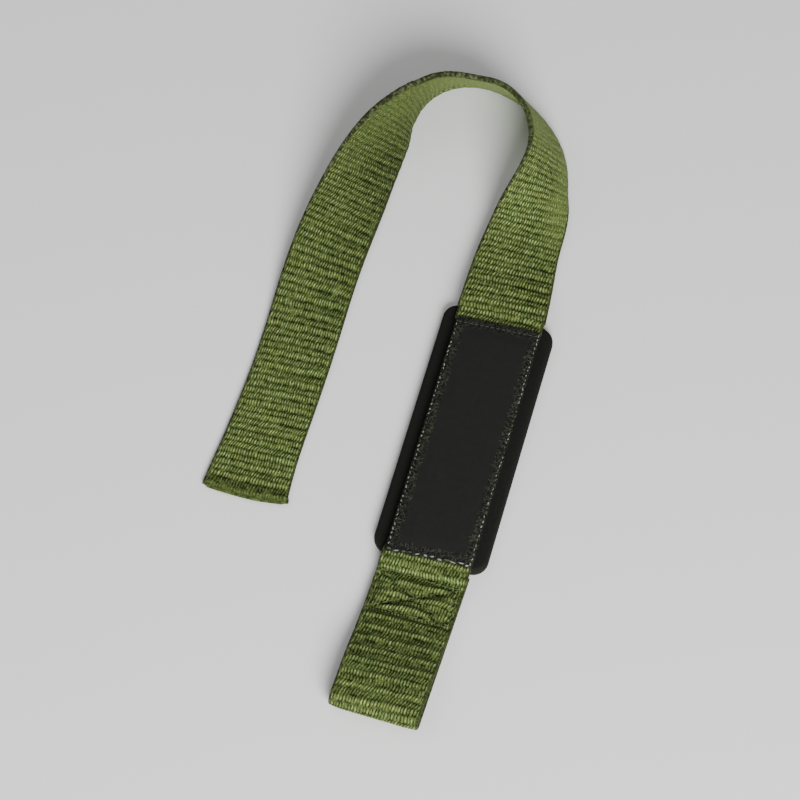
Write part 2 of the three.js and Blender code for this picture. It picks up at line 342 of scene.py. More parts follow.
class StrapPath:
    """The webbing's middle line from its tucked end to its free end, in millimetres."""

    STEP = 0.25

    def __init__(self, sizes):
        self.sizes = sizes
        self.low_mid = sizes.web_thick / 2
        self.stack_mid = self.low_mid + sizes.web_thick + LAYER_GAP
        self.pad_mid = PAD_THICK + LAYER_GAP + self.low_mid
        self.fold_radius = (sizes.loop_gap + sizes.web_thick) / 2
        self.loop_mid = self.low_mid + 2 * self.fold_radius
        runs = [self.loop_run(), self.pad_run(), self.tail_run()]
        self.centre, self.across, self.width, rib = (np.concatenate(parts) for parts in zip(*runs))
        steps = np.linalg.norm(np.diff(self.centre, axis=0), axis=1)
        self.distance = np.concatenate([[0.0], np.cumsum(steps)])
        counts = np.cumsum([len(run[0]) for run in runs])
        self.pad_start = self.distance[counts[0]]
        self.pad_end = self.distance[counts[1]]
        self.end = self.distance[-1]
        self.along = np.gradient(self.centre, self.distance, axis=0)
        pitch = sizes.rib_pitch * (rib[1:] + rib[:-1]) / 2
        self.ribs = np.concatenate([[0.0], np.cumsum(steps / pitch)])

    def loop_height(self, distance):
        """Height of the loop's upper layer, by distance from the pad."""
        share = distance / self.sizes.loop_length
        off_pad = smooth(LOOP_LIP, LOOP_BOX_START, share)
        bulge = smooth(LOOP_BOX_END, LOOP_FULL, share)
        return (
            self.pad_mid
            + (self.stack_mid - self.pad_mid) * off_pad
            + (self.loop_mid - self.stack_mid) * bulge
        )

    def loop_run(self):
        """Out along the floor, round the fold and back to the pad."""
        sizes = self.sizes
        fold_at = sizes.loop_length - self.fold_radius - sizes.web_thick / 2
        low = np.arange(LOOP_TUCK * sizes.loop_length, fold_at, self.STEP)
        turn = np.linspace(0, math.pi, int(math.pi * self.fold_radius / self.STEP), endpoint=False)
        top = np.arange(fold_at, 0, -self.STEP)
        reach = np.concatenate([low, fold_at + self.fold_radius * np.sin(turn), top])
        height = np.concatenate(
            [
                np.full(len(low), self.low_mid),
                self.low_mid + self.fold_radius * (1 - np.cos(turn)),
                self.loop_height(top),
            ]
        )
        sin, cos = math.sin(sizes.loop_skew), math.cos(sizes.loop_skew)
        centre = np.stack([-reach * sin, -PAD_LENGTH / 2 - reach * cos, height], -1)
        across = np.tile([cos, -sin, 0.0], (len(reach), 1))
        return centre, across, np.full(len(reach), sizes.web_width), np.full(len(reach), LOOP_RIB)

    def pad_run(self):
        """Straight over the pad, drawn in where it is sewn under the patch."""
        low, high = -PAD_LENGTH / 2, PAD_LENGTH / 2
        y = np.arange(low, high, self.STEP)
        centre = np.stack([0 * y, y, np.full(len(y), self.pad_mid)], -1)
        across = np.tile([1.0, 0.0, 0.0], (len(y), 1))
        sewn = stretch((low - 1, low + 4, high - 9, high - 5), y)
        return centre, across, self.sizes.web_width - SEWN_IN * sewn, np.ones(len(y))

    def tail_run(self):
        """Round the arch, leaning, with the lower edge on the floor."""
        sizes = self.sizes
        count = int(sizes.tail_length / self.STEP)
        share = np.linspace(0, 1, count + 1)
        step = sizes.tail_length / count
        heading = np.radians(tail_column("heading", share))
        lean = np.radians(tail_column("lean", share))
        width = sizes.web_width * tail_column("width", share)
        drop = smooth(0, TAIL_DROP, share * sizes.tail_length)
        height = width / 2 * np.abs(np.sin(lean)) + sizes.web_thick / 2 * np.abs(np.cos(lean))
        height = height + (self.pad_mid - self.low_mid) * (1 - drop)
        climb = np.gradient(height, step)
        level = np.sqrt(1 - np.minimum(climb**2, 0.9))
        flat = np.stack([-np.sin(heading) * level, np.cos(heading) * level], -1)
        ground = np.concatenate([[[0.0, 0.0]], np.cumsum(flat[:-1] * step, axis=0)])
        centre = np.column_stack([ground[:, 0], ground[:, 1] + PAD_LENGTH / 2, height])
        along = np.column_stack([flat, climb])
        along /= np.linalg.norm(along, axis=1)[:, None]
        side = np.stack([np.cos(heading), np.sin(heading), 0 * heading], -1)
        upward = np.cross(side, along)
        across = side * np.cos(lean)[:, None] - upward * np.sin(lean)[:, None]
        return centre, across, width, tail_column("rib", share)

    def at(self, distance):
        """Centre, across, out and width at each distance, in the pad's own millimetres."""
        centre = self.pick(self.centre, distance)
        along = self.pick(self.along, distance)
        across = self.pick(self.across, distance)
        across -= along * (along * across).sum(-1, keepdims=True) / (along**2).sum(-1, keepdims=True)
        across /= np.linalg.norm(across, axis=-1, keepdims=True)
        out = np.cross(across, along)
        out /= np.linalg.norm(out, axis=-1, keepdims=True)
        return centre, across, out, np.interp(distance, self.distance, self.width)

    def pick(self, values, distance):
        """Each part of a vector, read off at the distances."""
        return np.stack([np.interp(distance, self.distance, values[:, i]) for i in range(3)], -1)

    def rib_at(self, distance):
        return np.interp(distance, self.distance, self.ribs)

    def distance_at(self, rib):
        return np.interp(rib, self.ribs, self.distance)


def to_world(points):
    """From millimetres about the pad's middle to metres in the frame."""
    return points * MM + np.array([PAD_MIDDLE.x, PAD_MIDDLE.y, 0.0])


def box_lines():
    """The six lines of the crossed box, as pairs of points across and out from the pad."""
    a, b, c = BOX_NEAR, BOX_FAR, BOX_HALF
    return (
        ((-c, a), (c, a)),
        ((c, a), (c, b)),
        ((c, b), (-c, b)),
        ((-c, b), (-c, a)),
        ((-c, a), (c, b)),
        ((c, a), (-c, b)),
    )


def line_gap(x, y, line):
    """Distance of each point to a line's nearest point."""
    (ax, ay), (bx, by) = line
    dx, dy = bx - ax, by - ay
    t = np.clip(((x - ax) * dx + (y - ay) * dy) / (dx * dx + dy * dy), 0, 1)
    return np.hypot(x - ax - t * dx, y - ay - t * dy)


def sewn_box(x, reach, top):
    """How far the crossed box pulls the loop in, from 0 to 1, and how far the loop stands out."""
    on_box = (reach > BOX_ZONE[0]) & (reach < BOX_ZONE[1]) & top
    dip = np.zeros_like(x)
    for line in box_lines():
        dip = np.maximum(dip, np.clip(1 - line_gap(x, reach - BOX_LAG, line) / BOX_PULL, 0, 1) ** 2)
    within = smooth(BOX_HALF + 1.5, BOX_HALF - 0.5, np.abs(x))
    within = within * smooth(BOX_NEAR - 0.6, BOX_NEAR + 0.6, reach)
    within = within * smooth(BOX_FAR + 0.6, BOX_FAR - 0.6, reach)
    raised = BOX_RAISED * within + PUFF_HEIGHT * hump(reach, PUFF_AT, PUFF_WIDTH)
    return dip * on_box, raised * on_box


def weave(column, rib, side):
    """Height from 0 to 1, and a chance tone, of plain woven floats at each point."""
    seed = 20 * (side + 1)
    table = np.random.default_rng(seed).random((CHANCE_ROWS, CHANCE_CELLS))

    def chance(row, cell):
        return table[row % CHANCE_ROWS, cell % CHANCE_CELLS]

    rib = rib + RIB_WANDER * ripple(column / 3, rib / 1.3, seed + 1)
    column = column + YARN_WANDER * ripple(column / 5, rib * 0.8, seed + 2)
    height = np.zeros_like(column)
    tone = np.full_like(column, 0.5)
    slant = FLOAT_LEAN * (1 - 2 * side)
    for step in (-1, 0, 1):
        row = np.floor(rib).astype(int) + step
        leaning = slant * (LEAN_SPREAD * chance(row, LEAN_CELL) - 0.5)
        place = column - 0.5 * ((row + side) % 2) - leaning * (rib - row - 0.5)
        place = place + ROW_SHIFT * chance(row, SHIFT_CELL)
        cell = np.floor(place).astype(int)
        across = 2 * (place - cell) - 1
        own = chance(row, cell + 1)
        slip = FLOAT_SLIP * (chance(row + 7, cell + 1) - 0.5)
        along = np.clip((rib - row + slip + FLOAT_REACH) / (1 + 2 * FLOAT_REACH), 0, 1)
        round_over = np.clip(1 - across**2, 0, 1) ** 1.3
        arch = np.sin(math.pi * along) ** 0.85
        alternate = 1 - FLOAT_ALTERNATE * ((cell + row) % 2) * chance(row + 3, cell + 5)
        here = round_over * arch * (FLOAT_HEIGHT + FLOAT_CHANCE * own) * alternate
        tone = np.where(here > height, own, tone)
        height = np.maximum(height, here)
    return np.clip(height, 0, 1), tone


def rib_pairs(share, rib, distance, path):
    """How far two ribs together stand out, from 0 in the gap beside them to 1, and how strongly."""
    on_loop = distance < path.pad_start
    waves = ripple(share * 2.3 + 9, rib / 3, seed=77)
    wander = rib - PAIR_PHASE_ON_LOOP * on_loop + PAIR_WANDER * waves
    pair = wander / 2 - np.floor(wander / 2)
    lift = np.sin(math.pi * pair) ** 0.7
    uneven = 1 + PAIR_UNEVEN * ripple(share * 1.3 + 4, rib / 1.9, seed=78)
    reach_in = np.interp(distance - path.pad_end, *PAIRS_REACH_IN)
    on_tail = 0.08 + 0.92 * smooth(-0.2 - reach_in, 1.0 - 0.4 * reach_in, share)
    near_pad = smooth(*PAIRS_NEAR_PAD, np.abs(distance - path.pad_end))
    on_tail = on_tail + PAIRS_NEAR_PAD_MORE * near_pad
    by_loop = np.interp(path.pad_start - distance, *PAIRS_ON_LOOP)
    return lift, np.clip(np.where(on_loop, by_loop, on_tail) * uneven, 0, 1)


def rubbed_flat(past_pad, share, under):
    """How far the weave is rubbed flat by the bar, from 0 to 1: round the arch and outside it."""
    slanted = past_pad + RUBBED_SLANT * share
    rubbed = stretch(RUBBED, past_pad, slanted) * (RUBBED_MOST - RUBBED_LESS * smooth(*PAST_ARCH, slanted))
    inner = smooth(*INNER_SIDE, past_pad) * smooth(0.0, 0.7, share)
    outer = RUBBED_OUTER_MOST * stretch(RUBBED_OUTER, past_pad) * smooth(0.1, 0.7, share)
    rubbed = np.maximum(rubbed * (1 - RUBBED_INNER_LESS * inner), outer)
    return rubbed * np.where(under, smooth(*UNDER_RUBBED, past_pad), smooth(*TOP_RUBBED, past_pad))


def edge_cord_and_shade(past_pad, share, stood_up):
    """How far each point lies in the dark band along the edge, from 0 to 1: the cord, widened by painted
    shade where the tail stands up and along the inner edge.
    """
    inner = stretch(SHADED_INNER_EDGE, past_pad) * (share > 0)
    band = EDGE_BAND + EDGE_SHADE_STOOD * stood_up + EDGE_SHADE_INNER * inner
    return smooth(1 - band, 1 - 0.4 * band, np.abs(share))


def end_curve(to_end, share):
    """How far the free end's middle stands past its corners."""
    curve = END_CURVE_OUT * (1 - share**2) - END_CURVE_BACK * smooth(0.2, 1, share)
    corner = END_CURVE_OUT * smooth(0.88, 1, np.abs(share))
    return smooth(END_CURVE, 0, to_end) * curve - smooth(END_CORNER, 0, to_end) * corner


def webbing_section(columns, per_column, rounding):
    """Points round the webbing's section: face (1 up, -1 down, 0 edge), share across, edge turn."""
    face_share = np.linspace(-1, 1, columns * per_column + 1)
    turn = np.linspace(math.pi / 2, -math.pi / 2, rounding + 2)[1:-1]
    flat, edge = np.ones_like(face_share), np.ones_like(turn)
    face = np.concatenate([flat, 0 * edge, -flat, 0 * edge, [1.0]])
    share = np.concatenate([face_share, edge, -face_share, -edge, [-1.0]])
    angle = np.concatenate([0 * flat, turn, 0 * flat, -turn, [0.0]])
    return face, share, angle


def woven_faces(column, rib, share, under):
    """The height and tone of the weave on both faces, with a cord along the edges between them."""
    top, top_tone = weave(column, rib, 0)
    low, low_tone = weave(column, rib, 1)
    cord = 0.5 + 0.3 * ripple(rib * 2.3, share * 2, seed=61)
    inside = smooth(0.0, 0.02, 1 - np.abs(share))
    rise = np.where(under, low, top) * inside + cord * (1 - inside)
    return rise, np.where(under, low_tone, top_tone)


def sealed_end(rise, column, rib, to_end, seal):
    """The weave's height where the free end is melted smooth and pressed along a fold line; the line is
    also painted darker, as painted shade in the crease.
    """
    rise = rise * (1 - 0.8 * seal)
    rise = rise + (SEAL_RISE + SEAL_RIPPLE * ripple(column * 0.7, rib * 5, seed=62)) * seal
    return rise * (1 - 0.5 * hump(to_end, FOLD_LINE, FOLD_LINE_WIDTH))


def webbing_shape(path, face, share, angle, rib, is_end):
    """Places, UVs and the values that colour a stretch of webbing, as arrays of sections."""
    sizes = path.sizes
    distance = path.distance_at(rib)
    centre, across, out, width = path.at(distance)
    to_end = (path.end - distance)[:, None]
    past_pad = (distance - path.pad_end)[:, None]
    reach = (path.pad_start - distance)[:, None]
    share = np.repeat(share[None], len(rib), 0)
    tail_share = np.clip((distance - path.pad_end) / sizes.tail_length, 0, 1)
    skew = np.where(distance < path.pad_start, LOOP_RIB_SKEW, tail_column("skew", tail_share))
    rib = rib[:, None] + skew[:, None] * share
    column = (share + 1) / 2 * sizes.columns
    on_edge = (face == 0)[None]
    under = (face < 0)[None]

    # The weave, rubbed flat, paired by deep gaps that are painted darker as shade, and sealed at the free
    # end
    rise, tone = woven_faces(column, rib, share, under)
    rubbed = rubbed_flat(past_pad, share, under)
    rise = rise * (1 - rubbed) + RUBBED_RISE * rubbed
    seal = 1 - smooth(*SEALED, to_end)
    lift, strength = rib_pairs(share, rib, distance[:, None], path)
    strength = strength * (1 - seal) * (1 - rubbed)
    sunk = (1 - lift) * strength * (1 - 0.75 * smooth(0.9, 1.0, np.abs(share)))
    rise = sealed_end(rise * (1 - GAP_SHADE * sunk), column, rib, to_end, seal)

    # The section: half its thickness, thinner to the edges, and the round of the edge. The pairs
    # swell only on the side that faces up, so that the strap still rests on the floor.
    stood_up = stretch(STOOD_UP, past_pad) * (share < 0)
    taper = 1 - EDGE_THINNER * np.abs(share) ** 7 * (1 - EDGE_KEPT * stood_up)
    core = (sizes.web_thick / 2 - sizes.relief) * (1 - 0.3 * seal) * taper
    upward = smooth(-0.3, 0.3, face[None] * out[:, 2:])
    swell = PAIR_SWELL * lift * strength * taper * upward
    half_thick = core + swell - GAP_SINK * sunk + sizes.relief * rise * taper
    if is_end:
        round_off = np.clip(to_end / END_ROUND, 0, 1)
        half_thick = half_thick * np.sqrt(np.clip(1 - (1 - round_off) ** 2, 0.02, 1))
    edge = sizes.web_thick * EDGE_ROUND
    flat_half = width[:, None] / 2 - edge
    rim_out = edge * np.cos(angle)[None] + 0.12 * (rise - 0.5) - 0.15 * sunk
    local_x = np.where(on_edge, np.sign(share) * (flat_half + rim_out), share * flat_half)
    local_y = np.where(on_edge, half_thick * np.sin(angle)[None], face[None] * half_thick)

    dip, raised = sewn_box(local_x, reach, ~under)
    local_y = local_y - BOX_DEPTH * dip + raised
    # Where the thread pulls the loop in, the weave is also painted darker: painted shade in the dips
    rise = rise * (1 - 0.5 * dip**3)
    local_x = local_x + END_FLARE * smooth(4.5, 2.5, to_end) * smooth(0.7, 1, share)
    places = (
        centre[:, None]
        + across[:, None] * local_x[..., None]
        + out[:, None] * local_y[..., None]
        + np.cross(out, across)[:, None] * end_curve(to_end, share)[..., None]
    )
    uv = np.stack([column / sizes.columns, rib], -1)
    # Painted light and shade along the strap, by distance from the pad
    painted_shading = np.interp(np.where(reach > 0, -reach, past_pad), PAINTED_SHADING_AT, PAINTED_SHADING)
    shades = {
        "rise": rise,
        "tone": tone,
        "painted_shading": np.broadcast_to(painted_shading, rise.shape),
        # The edge's cord, with painted shade that widens it
        "edge": edge_cord_and_shade(past_pad, share, stood_up),
    }
    return to_world(places), uv, shades


def flat_grid(name, columns, rows):
    """A flat grid mesh, with each vertex's column and row."""
    bm = bmesh.new()
    bmesh.ops.create_grid(bm, x_segments=columns - 1, y_segments=rows - 1, size=1)
    mesh = bpy.data.meshes.new(name)
    bm.to_mesh(mesh)
    bm.free()
    flat = np.empty(len(mesh.vertices) * 3)
    mesh.vertices.foreach_get("co", flat)
    flat = (flat.reshape(-1, 3) + 1) / 2
    i = np.rint(flat[:, 0] * (columns - 1)).astype(int)
    j = np.rint(flat[:, 1] * (rows - 1)).astype(int)
    return mesh, i, j


def make_webbing(name, path, start, stop, per_column, per_rib, is_end=False):
    """One closed stretch of webbing between two ribs, wrapped from a flat grid."""
    face, share, angle = webbing_section(path.sizes.columns, per_column, 4)
    ribs = np.linspace(start, stop, int(round((stop - start) * per_rib)) + 1)
    if is_end:
        last = path.rib_at(path.end - END_SECTIONS)
        ribs = np.concatenate([ribs[ribs < last[0] - 0.05], last])
    places, uv, shades = webbing_shape(path, face, share, angle, ribs, is_end)
    mesh, i, j = flat_grid(name, len(share), len(ribs))
    mesh.vertices.foreach_set("co", places[j, i].ravel())
    for key, values in shades.items():
        mesh.attributes.new(key, "FLOAT", "POINT").data.foreach_set("value", values[j, i])
    corner = np.empty(len(mesh.loops), int)
    mesh.loops.foreach_get("vertex_index", corner)
    mesh.uv_layers.new(name="weave").data.foreach_set("uv", uv[j[corner], i[corner]].ravel())
    bm = bmesh.new()
    bm.from_mesh(mesh)
    bmesh.ops.remove_doubles(bm, verts=bm.verts, dist=1e-6)
    bmesh.ops.holes_fill(bm, edges=[e for e in bm.edges if e.is_boundary], sides=0)
    bmesh.ops.recalc_face_normals(bm, faces=bm.faces)
    return finish_piece(name, bm, mesh)


def finish_piece(name, bm, mesh=None):
    """Turns a bmesh into a smooth shaded object at the origin."""
    mesh = mesh or bpy.data.meshes.new(name)
    for face in bm.faces:
        face.smooth = True
    bm.to_mesh(mesh)
    bm.free()
    piece = bpy.data.objects.new(name, mesh)
    bpy.context.scene.collection.objects.link(piece)
    return piece


def node(tree, kind, inputs=(), **settings):
    """Adds a shader node, sets its sockets by name or place and returns it."""
    made = tree.nodes.new("ShaderNode" + kind)
    for key, value in settings.items():
        setattr(made, key, value)
    pairs = inputs.items() if isinstance(inputs, dict) else enumerate(inputs)
    for key, value in pairs:
        socket = made.inputs[key]
        if isinstance(value, bpy.types.NodeSocket):
            tree.links.new(value, socket)
        else:
            socket.default_value = value
    return made


def maths(tree, operation, *values):
    return node(tree, "Math", values, operation=operation).outputs[0]


def spread(tree, value, low, high, to_low=0.0, to_high=1.0):
    """Maps a value from one range to another, held at its ends."""
    return node(tree, "MapRange", [value, low, high, to_low, to_high]).outputs[0]


def noise(tree, place, scale, detail=3.0):
    """Soft chance values from 0 to 1, with so many waves to a unit of the place."""
    return node(tree, "TexNoise", {"Vector": place, "Scale": scale, "Detail": detail}).outputs["Fac"]


def attribute(tree, name):
    """A value that the piece's mesh carries on its vertices."""
    return node(tree, "Attribute", attribute_name=name).outputs["Fac"]


def plain(tree, colour):
    """A set colour as a socket."""
    made = tree.nodes.new("ShaderNodeRGB")
    made.outputs[0].default_value = (*colour, 1.0)
    return made.outputs[0]


def blend(tree, factor, first, second, kind="MIX"):
    """Mixes two colours, each a socket or three numbers."""
    made = node(tree, "MixRGB", [factor], blend_type=kind)
    for socket, value in zip(made.inputs[1:], (first, second)):
        if isinstance(value, bpy.types.NodeSocket):
            tree.links.new(value, socket)
        else:
            socket.default_value = (*value, 1.0)
    return made.outputs[0]


def scaled(tree, colour, factor):
    """A colour made brighter or darker by a value."""
    return node(tree, "VectorMath", {0: colour, "Scale": factor}, operation="SCALE").outputs[0]


def fuzz_group():
    """Shared fine fibre and grain: a tone about 1 and a height, from a place and a size."""
    name = "fine_fuzz"
    if name in bpy.data.node_groups:
        return bpy.data.node_groups[name]
    group = bpy.data.node_groups.new(name, "ShaderNodeTree")
    face = group.interface
    face.new_socket("Place", in_out="INPUT", socket_type="NodeSocketVector")
    face.new_socket("Scale", in_out="INPUT", socket_type="NodeSocketFloat")
    face.new_socket("Contrast", in_out="INPUT", socket_type="NodeSocketFloat")
    face.new_socket("Tone", in_out="OUTPUT", socket_type="NodeSocketFloat")
    face.new_socket("Height", in_out="OUTPUT", socket_type="NodeSocketFloat")
    source = group.nodes.new("NodeGroupInput")
    result = group.nodes.new("NodeGroupOutput")
    place, scale, contrast = source.outputs[:3]
    fine = node(group, "TexNoise", {"Vector": place, "Scale": scale, "Detail": 3.0, "Roughness": 0.65})
    coarse = noise(group, place, maths(group, "MULTIPLY", scale, 0.4), 2.0)
    both = maths(group, "ADD", fine.outputs["Fac"], coarse)
    centred = maths(group, "SUBTRACT", both, 1.0)
    tone = maths(group, "MULTIPLY_ADD", centred, contrast, 1.0)
    group.links.new(tone, result.inputs["Tone"])
    group.links.new(both, result.inputs["Height"])
    return group


def fuzz(tree, place, scale, contrast):
    """The shared fuzz at this material's size and contrast: its tone and its height."""
    made = node(tree, "Group", node_tree=fuzz_group())
    tree.links.new(place, made.inputs["Place"])
    made.inputs["Scale"].default_value = scale
    made.inputs["Contrast"].default_value = contrast
    return made.outputs["Tone"], made.outputs["Height"]


def new_material(name, roughness, specular, sheen=0.0):
    """A material with its node tree, its Principled BSDF and its place in Object coordinates."""
    material = bpy.data.materials.new(name)
    material.use_nodes = True
    tree = material.node_tree
    shader = tree.nodes["Principled BSDF"]
    shader.inputs["Roughness"].default_value = roughness
    shader.inputs["Specular IOR Level"].default_value = specular
    shader.inputs["Sheen Weight"].default_value = sheen
    return material, tree, shader, tree.nodes.new("ShaderNodeTexCoord").outputs["Object"]


def finish_material(tree, shader, base, height, strength, distance):
    """Connects the colour, and a bump of so many metres, to the shader."""
    bump = node(tree, "Bump", {"Strength": strength, "Distance": distance, "Height": height})
    tree.links.new(base, shader.inputs["Base Color"])
    tree.links.new(bump.outputs[0], shader.inputs["Normal"])


def woven_colour(tree, place, colours):
    """Painted shade in the dark gaps, olive yarn and painted highlights on the pale crowns, with lint over
    them, by how the weave stands out, then painted light and shade along the strap.
    """
    rise = attribute(tree, "rise")
    low = blend(tree, spread(tree, rise, YARN_FROM, YARN_TO), tuple(colours.painted_gap_shade), tuple(colours.yarn))
    base = blend(tree, spread(tree, rise, CROWN_HIGHLIGHT_FROM, CROWN_HIGHLIGHT_TO), low, tuple(colours.crown))
    lint = noise(tree, place, COTTON_LINT_SCALE)
    base = blend(tree, spread(tree, lint, 0.5, 0.66, 0.0, 0.5), base, tuple(colours.yarn))
    tone = spread(tree, attribute(tree, "tone"), 0.0, 1.0, 0.95, 1.05)
    # Multiplied by the painted light and shade along the strap
    return scaled(tree, scaled(tree, base, tone), attribute(tree, "painted_shading"))


def uneven_dye(tree, place, base):
    """Patches that turn yellow or mossy."""
    yellow = spread(tree, noise(tree, place, YELLOW_SCALE), 0.5, 0.72, 0.0, 0.5)
    base = blend(tree, yellow, base, YELLOW_DYE, "MULTIPLY")
    moss = spread(tree, noise(tree, place, MOSS_SCALE, 2.0), 0.54, 0.74, 0.0, 0.5)
    return blend(tree, moss, base, MOSS_DYE, "MULTIPLY")


def woven_edge(tree, place, weave_uv, base, colours):
    """The edge's cord: grey and frayed on one side, dark moss on the other, which is painted shade for the
    edge's shadow side.
    """
    fray = spread(tree, noise(tree, place, EDGE_FRAY_SCALE, 2.0), 0.44, 0.6)
    cord = blend(tree, fray, EDGE_SHADE, tuple(colours.selvedge))
    across = node(tree, "SeparateXYZ", [weave_uv]).outputs["X"]
    cord = blend(tree, spread(tree, across, 0.4, 0.6), cord, EDGE_SHADOW_MOSS)
    return blend(tree, maths(tree, "MULTIPLY", attribute(tree, "edge"), 0.9), base, cord)


def webbing_material(colours):
    """Olive cotton: dark gaps of painted shade, pale crowns of painted highlight, painted light and shade
    along the strap, uneven dye, spun yarn and a grey edge with painted shade.
    """
    material, tree, shader, place = new_material("olive_webbing", 0.9, 0.08, 0.12)
    shader.inputs["Sheen Tint"].default_value = SHEEN_TINT
    weave_uv = node(tree, "UVMap", uv_map="weave").outputs[0]
    base = woven_colour(tree, place, colours)
    base = uneven_dye(tree, place, base)
    base = woven_edge(tree, place, weave_uv, base, colours)

    turned = {"Vector": weave_uv, "Rotation": (0, 0, FIBRE_TURN), "Scale": FIBRE_STRETCH}
    fibre = noise(tree, node(tree, "Mapping", turned).outputs[0], FIBRE_SCALE)
    fuzz_tone, fuzz_height = fuzz(tree, place, COTTON_FUZZ_SCALE, 1.05)
    streak = spread(tree, fibre, 0.3, 0.7, 0.32, 1.68)
    base = scaled(tree, scaled(tree, base, fuzz_tone), streak)
    height = maths(tree, "MULTIPLY_ADD", fibre, 0.8, fuzz_height)
    finish_material(tree, shader, base, height, 0.45, 0.00025)
    return material


def foam_material(colours):
    """Matt black foam rubber with a fine grain."""
    material, tree, shader, place = new_material("black_foam", 0.8, 0.15)
    tone, height = fuzz(tree, place, FOAM_FUZZ_SCALE, 0.55)
    finish_material(tree, shader, scaled(tree, plain(tree, colours.foam), tone), height, 0.25, 0.0002)
    return material


def patch_material(colours):
    """Dull charcoal skin, rough and olive with lint along its sewn rims."""
    material, tree, shader, place = new_material("charcoal_patch", 0.7, 0.18)
    rim = attribute(tree, "rim")
    tone, height = fuzz(tree, place, PATCH_FUZZ_SCALE, 0.35)
    lint = noise(tree, place, RIM_LINT_SCALE)
    specks = spread(tree, lint, 0.52, 0.64)
    holes = spread(tree, lint, 0.5, 0.4)
    base = scaled(tree, plain(tree, colours.patch), tone)
    base = blend(tree, maths(tree, "MULTIPLY", holes, rim), base, RIM_SHADE)
    base = blend(tree, maths(tree, "MULTIPLY", specks, rim), base, RIM_LINT)
    finish_material(tree, shader, base, height, 0.3, 0.00015)
    return material


def thread_material(name, colour):
    """Spun sewing thread, uneven in tone."""
    material, tree, shader, place = new_material(name, 0.8, 0.3, 0.1)
    tone, height = fuzz(tree, place, THREAD_FUZZ_SCALE, 0.9)
    finish_material(tree, shader, scaled(tree, plain(tree, colour), tone), height, 0.4, 0.0002)
    return material


def paint(piece, material):
    piece.data.materials.clear()
    piece.data.materials.append(material)


class STRAP_OT_webbing(bpy.types.Operator):
    """Weave the strap's webbing in four stretches"""

    bl_idname = "strap.webbing"
    bl_label = "Webbing"

    def execute(self, context):
        path = StrapPath(context.scene.strap_sizes)
        sewn_rib = math.ceil(path.rib_at(path.pad_start + SPLIT_SEWN))
        pad_rib = math.floor(path.rib_at(path.pad_end - SPLIT_PAD))
        split_rib = math.floor(path.rib_at(path.pad_end + SPLIT_TAIL))
        last_rib = float(path.rib_at(path.end))
        material = webbing_material(context.scene.strap_colours)
        fine = 4
        pieces = [
            make_webbing("webbing_loop", path, 0.0, sewn_rib, fine, fine),
            make_webbing("webbing_under_patch", path, sewn_rib, pad_rib, 1, 2),
            make_webbing("webbing_right_limb", path, pad_rib, split_rib, fine, fine + 1),
            make_webbing("webbing_left_limb", path, split_rib, last_rib, fine, fine + 1, is_end=True),
        ]
        for piece in pieces:
            paint(piece, material)
            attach(piece, "root")
            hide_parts("webbing_strap")
        return {"FINISHED"}


def round_edges(bm, edges, size):
    """Rounds edges by a radius and a number of steps."""
    radius, steps = size
    bmesh.ops.bevel(
        bm, geom=edges, offset=radius * MM, segments=steps, profile=0.5, affect="EDGES", material=-1
    )


class STRAP_OT_pad(bpy.types.Operator):
    """Cut the foam pad and round its edges"""

    bl_idname = "strap.pad"
    bl_label = "Foam pad"

    def execute(self, context):
        bm = bmesh.new()
        size = Matrix.Diagonal((PAD_WIDTH * MM, PAD_LENGTH * MM, PAD_THICK * MM, 1))
        place = Matrix.Translation((PAD_MIDDLE.x, PAD_MIDDLE.y, PAD_THICK * MM / 2))
        bmesh.ops.create_cube(bm, size=1, matrix=place @ size)
        uprights = [e for e in bm.edges if abs(e.verts[0].co.z - e.verts[1].co.z) > MM]
        round_edges(bm, uprights, PAD_CORNER)
        near = 0.1 * MM
        top = [e for e in bm.edges if min(v.co.z for v in e.verts) > PAD_THICK * MM - near]
        round_edges(bm, top, PAD_TOP_EDGE)
        foot = [e for e in bm.edges if max(v.co.z for v in e.verts) < near]
        round_edges(bm, foot, PAD_FOOT_EDGE)
        for v in bm.verts:
            x = (v.co.x - PAD_MIDDLE.x) / (PAD_WIDTH / 2 * MM)
            y = (v.co.y - PAD_MIDDLE.y) / (PAD_LENGTH / 2 * MM)
            v.co.y += PAD_SKEW * MM * (1 - x) / 2 * max(0.0, y)
        piece = finish_piece("foam_pad", bm)
        paint(piece, foam_material(context.scene.strap_colours))
        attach(piece, "root")
        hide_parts("neoprene_pad")
        return {"FINISHED"}


def patch_place(x, y):
    """A point of the patch's top, from its place on the flat patch, in metres."""
    side = PATCH_WIDTH / 2 - np.abs(x)
    end = PATCH_LENGTH / 2 - np.abs(y)
    crown = PATCH_CROWN * smooth(2.5, 10, side) * smooth(2.5, 9, end)
    roll = PATCH_SIDE_ROLL * (1 - smooth(-0.2, 2.0, side)) ** 1.5
    roll = roll + PATCH_END_ROLL * (1 - smooth(0, 0.8, end))
    pulled = PATCH_SIDE_PULL * hump(side, ROW_IN, 0.7) + PATCH_END_PULL * hump(end, END_ROW_IN, 0.6)
    near_rim = 1 - smooth(2.5, 5.0, np.minimum(side, end))
    waves = ripple(x / PATCH_BUMP_SIZE + 40, y / PATCH_BUMP_SIZE + 90, seed=31)
    z = PATCH_LOW.z / MM + PATCH_SKIN + PATCH_LIFT + crown - roll - pulled + PATCH_BUMPS * near_rim * waves
    x, y = x + PATCH_SHIFT, y + PATCH_SLANT * x - PATCH_DROP
    return np.stack([PATCH_MIDDLE.x + x * MM, PATCH_MIDDLE.y + y * MM, z * MM], -1)


